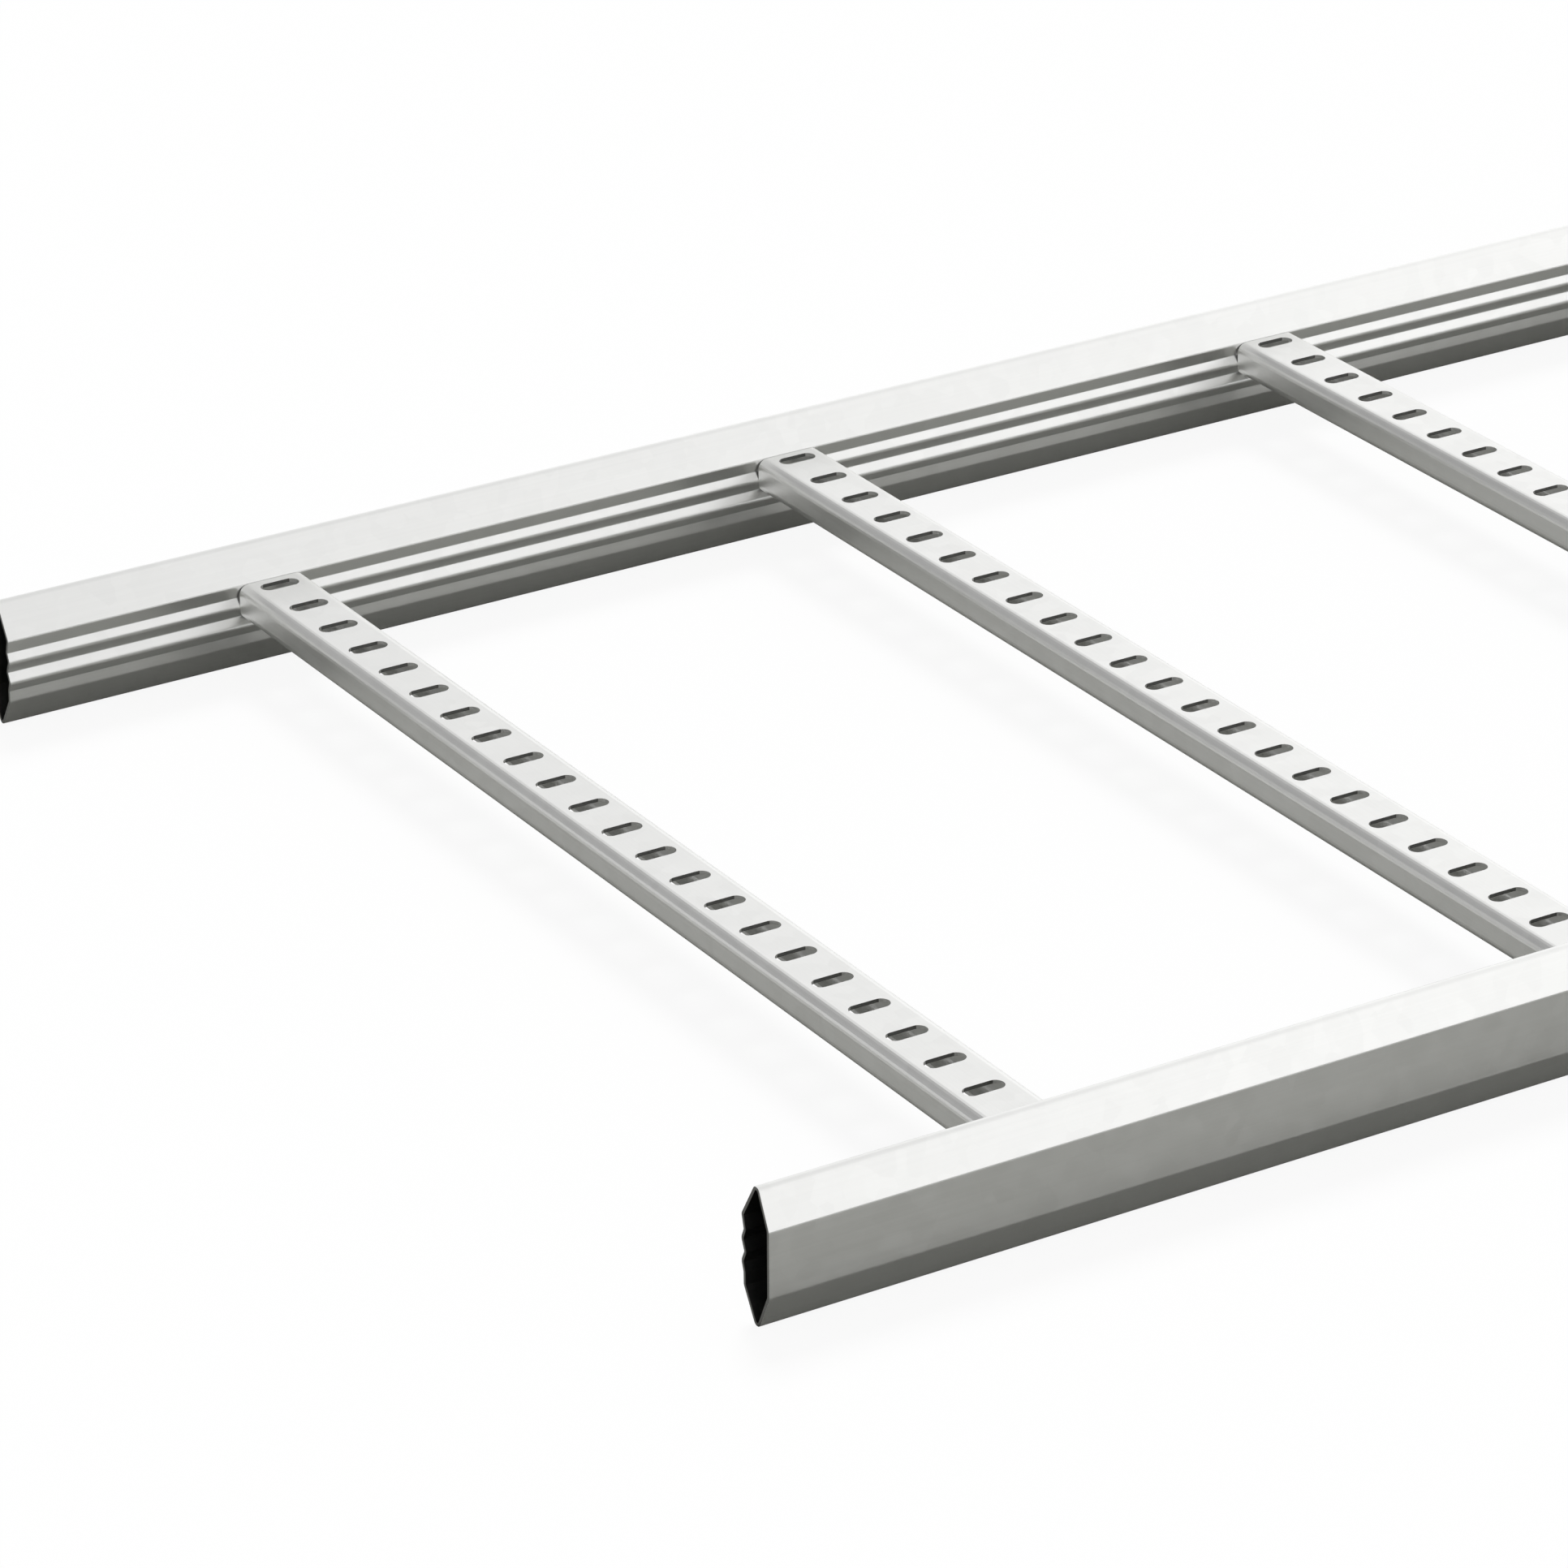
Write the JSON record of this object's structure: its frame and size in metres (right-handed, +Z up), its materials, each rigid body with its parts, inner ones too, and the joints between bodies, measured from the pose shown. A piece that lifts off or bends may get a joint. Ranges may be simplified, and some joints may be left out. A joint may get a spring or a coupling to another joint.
{
  "type": "cable ladder section",
  "caption": "Straight cable ladder section with hollow lens-shaped side rails and slotted C-profile rungs between them.",
  "frame": {"origin": "on the floor, midway between the rails and at mid length", "axes": "+X along the rails, +Y across the rungs, +Z up from the floor"},
  "size_m": [3, 0.6, 0.054],
  "materials": {
    "rail_steel": "satin zinc coating",
    "rung_steel": "satin zinc coating"
  },
  "bodies": {
    "root": {"rail_near": "rail_steel", "rail_far": "rail_steel", "rung_01": "rung_steel", "rung_02": "rung_steel", "rung_03": "rung_steel", "rung_04": "rung_steel", "rung_05": "rung_steel", "rung_06": "rung_steel", "rung_07": "rung_steel", "rung_08": "rung_steel", "rung_09": "rung_steel", "rung_10": "rung_steel", "rung_11": "rung_steel", "rung_12": "rung_steel"}
  },
  "joints": []
}
